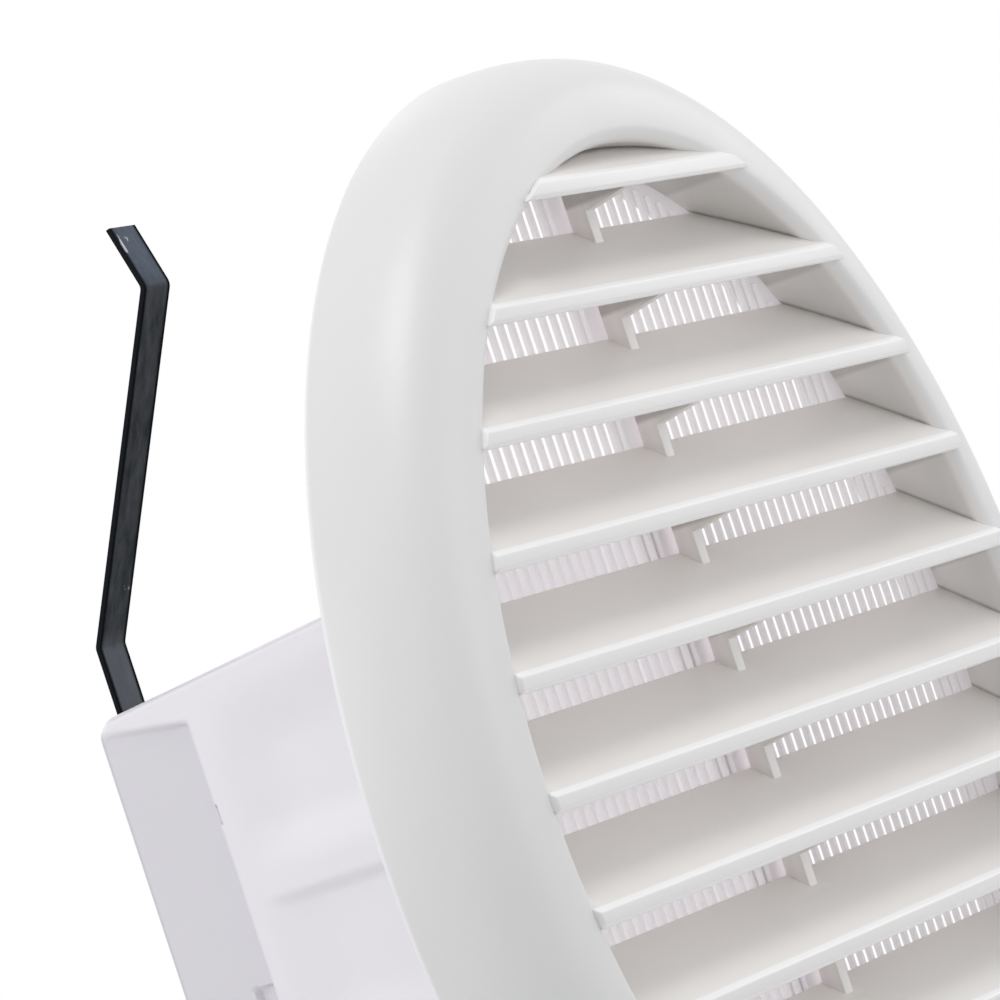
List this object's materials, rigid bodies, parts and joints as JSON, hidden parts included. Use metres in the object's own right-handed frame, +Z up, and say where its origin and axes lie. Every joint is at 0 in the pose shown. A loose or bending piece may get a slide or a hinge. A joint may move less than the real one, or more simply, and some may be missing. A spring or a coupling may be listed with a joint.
{
  "type": "ventilation grille",
  "caption": "Round louvre ventilation grille with a domed rim, inclined slats, an insect screen and bent leaf springs on a rear arm that grip the inside of a duct.",
  "frame": {"origin": "centre of the flange's back plane, on the grille's axis", "axes": "+Y along the axis into the wall, so the face looks along -Y; +Z up, across the slats; +X to the right along the slats"},
  "size_m": [0.15, 0.0824, 0.15],
  "materials": {
    "grille_plastic": "satin white moulded plastic",
    "screen_plastic": "white moulded net",
    "holder_plastic": "white moulded plastic",
    "spring_steel": "blackened spring steel"
  },
  "bodies": {
    "grille_body": {"front_grille": "grille_plastic", "insect_screen": "screen_plastic", "spring_holder": "holder_plastic"},
    "upper_strip": {"upper_spring": "spring_steel"},
    "lower_strip": {"lower_spring": "spring_steel"}
  },
  "joints": [
    {"name": "upper_spring_flex", "type": "hinge", "parent": "grille_body", "child": "upper_strip", "pos_m": [0, 0.0653, 0.02023], "axis": [1, 0, 0], "range_deg": [0, 50], "stiffness_Nm_per_rad": 0.6},
    {"name": "lower_spring_flex", "type": "hinge", "parent": "grille_body", "child": "lower_strip", "pos_m": [0, 0.0653, -0.02023], "axis": [-1, 0, 0], "range_deg": [0, 50], "stiffness_Nm_per_rad": 0.6}
  ]
}
